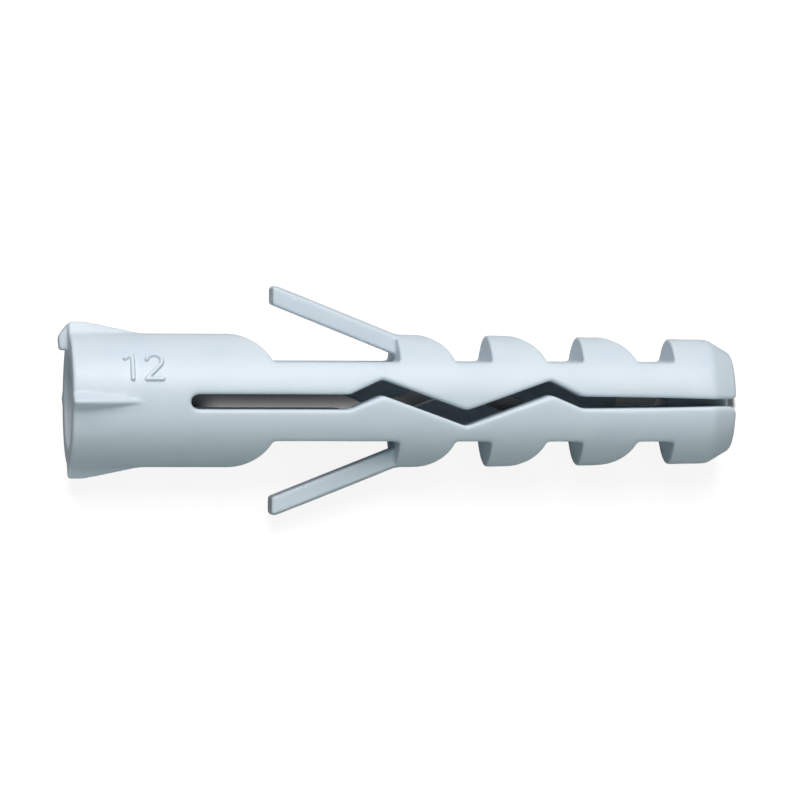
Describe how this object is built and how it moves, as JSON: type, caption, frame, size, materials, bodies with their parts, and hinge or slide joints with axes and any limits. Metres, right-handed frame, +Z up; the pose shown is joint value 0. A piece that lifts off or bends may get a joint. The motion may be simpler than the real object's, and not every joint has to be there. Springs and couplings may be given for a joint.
{
  "type": "wall plug",
  "caption": "Moulded expansion plug with a zigzag split, stepped humps, tapered ribs at its mouth and two spring wings that stop it turning in the hole.",
  "frame": {"origin": "centre of the screw hole in the plane of the mouth's rim", "axes": "+X along the plug's axis from the mouth to the tip, +Z up with the plug lying on one wing"},
  "size_m": [0.0406, 0.0132, 0.0084],
  "materials": {
    "plug_body": "fine matt moulded surface, pale blue grey"
  },
  "bodies": {
    "root": {"plug_body": "plug_body"}
  },
  "joints": []
}
